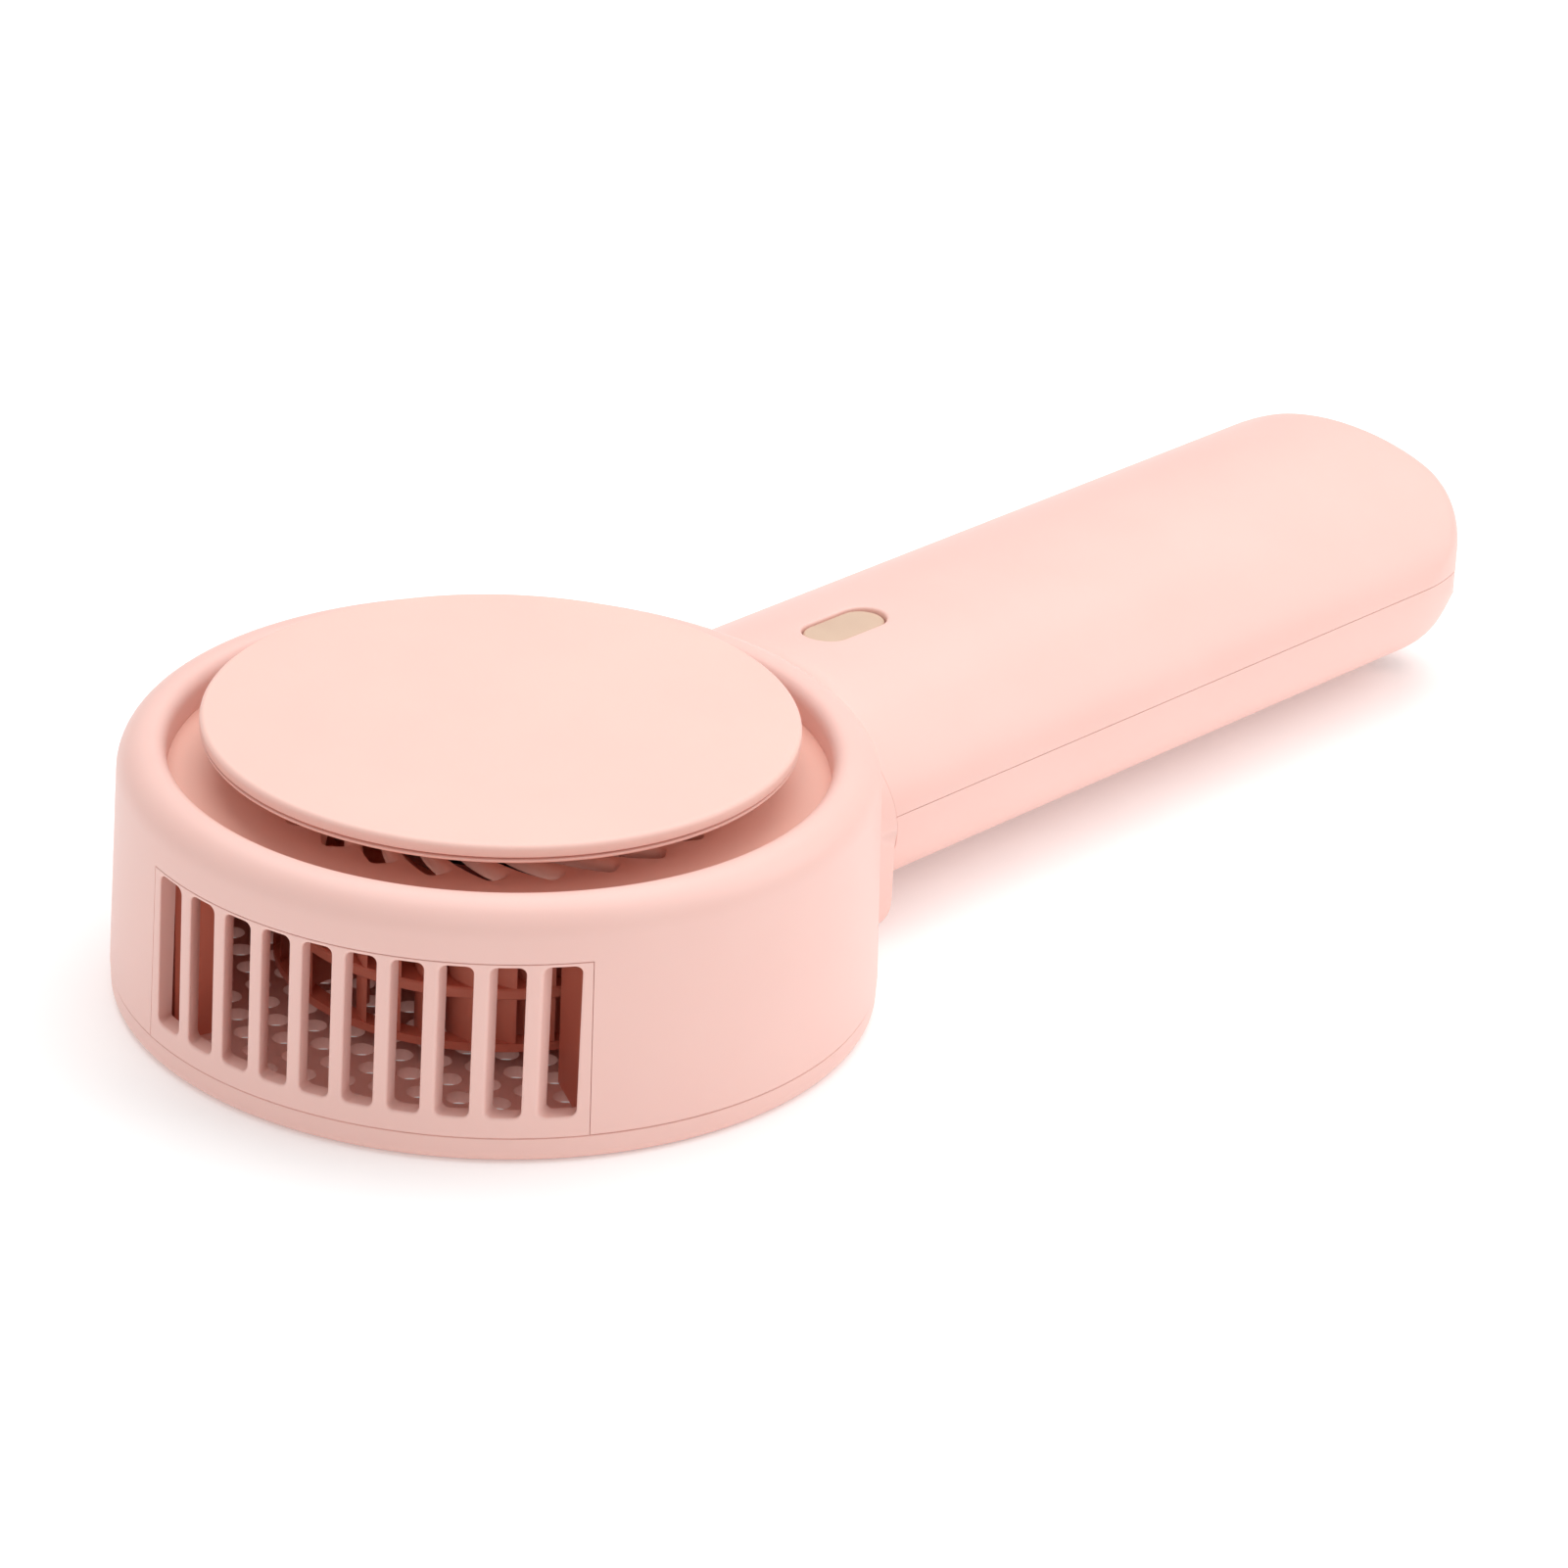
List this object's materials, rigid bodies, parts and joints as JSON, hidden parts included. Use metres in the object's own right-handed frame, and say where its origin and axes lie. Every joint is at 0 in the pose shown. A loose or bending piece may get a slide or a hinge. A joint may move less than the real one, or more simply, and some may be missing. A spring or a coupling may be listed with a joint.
{
  "type": "handheld blower fan",
  "caption": "Handheld battery blower fan: round flat head with a floating disc over a slotted intake, a slotted outlet in the drum's side, and an oval handle with a push button.",
  "frame": {"origin": "the drum's axis on the flat outside face of the back cover, on which the fan can lie", "axes": "+Z along the drum and impeller axis, out through the cover disc; +X along the handle, away from the drum; the outlet looks towards -X, turned 22 degrees towards -Y"},
  "size_m": [0.2038, 0.09, 0.0346],
  "materials": {
    "body_pink": "satin",
    "disc_pink": "satin",
    "button_beige": "matt",
    "black_plastic": "satin",
    "motor_steel": "satin",
    "screw_steel": "zinc plated",
    "motor_alloy": "as cast",
    "coil_copper": "enamelled wire",
    "magnet_black": "matt",
    "cell_wrap": "shrink sleeve",
    "board_green": "solder mask",
    "pad_rubber": "foam",
    "lead_rubber": "insulation"
  },
  "bodies": {
    "housing": {"head_shell": "body_pink", "outlet_grille": "body_pink", "intake_dish": "body_pink", "cover_disc": "disc_pink", "disc_carrier": "disc_pink", "back_cover": "body_pink", "volute": "body_pink", "neck_block": "body_pink", "back_cover_screws": "screw_steel", "neck_screws": "screw_steel", "motor_base": "motor_alloy", "stator_core": "motor_steel", "stator_coils": "coil_copper", "motor_bearings": "motor_steel", "motor_screws": "screw_steel", "motor_leads": "lead_rubber", "handle_upper_shell": "body_pink", "handle_lower_shell": "body_pink", "handle_screws": "screw_steel", "battery_cell": "cell_wrap", "battery_pads": "pad_rubber", "battery_leads": "lead_rubber", "control_board": "board_green", "board_parts": "black_plastic", "power_switch": "black_plastic", "usb_board": "board_green", "usb_socket": "motor_steel"},
    "rotor": {"impeller": "body_pink", "rotor_bell": "motor_steel", "rotor_magnets": "magnet_black", "motor_shaft": "motor_steel", "shaft_clip": "motor_steel"},
    "key": {"button": "button_beige", "switch_plunger": "black_plastic"}
  },
  "joints": [
    {"name": "impeller_spin", "type": "hinge", "parent": "housing", "child": "rotor", "pos_m": [0, 0, 0.012], "axis": [0, 0, 1], "continuous": true},
    {"name": "button_press", "type": "slide", "parent": "housing", "child": "key", "axis": [0, 0, -1], "range_m": [0, 0.0005], "stiffness_N_per_m": 800, "springref_m": -0.0005}
  ]
}
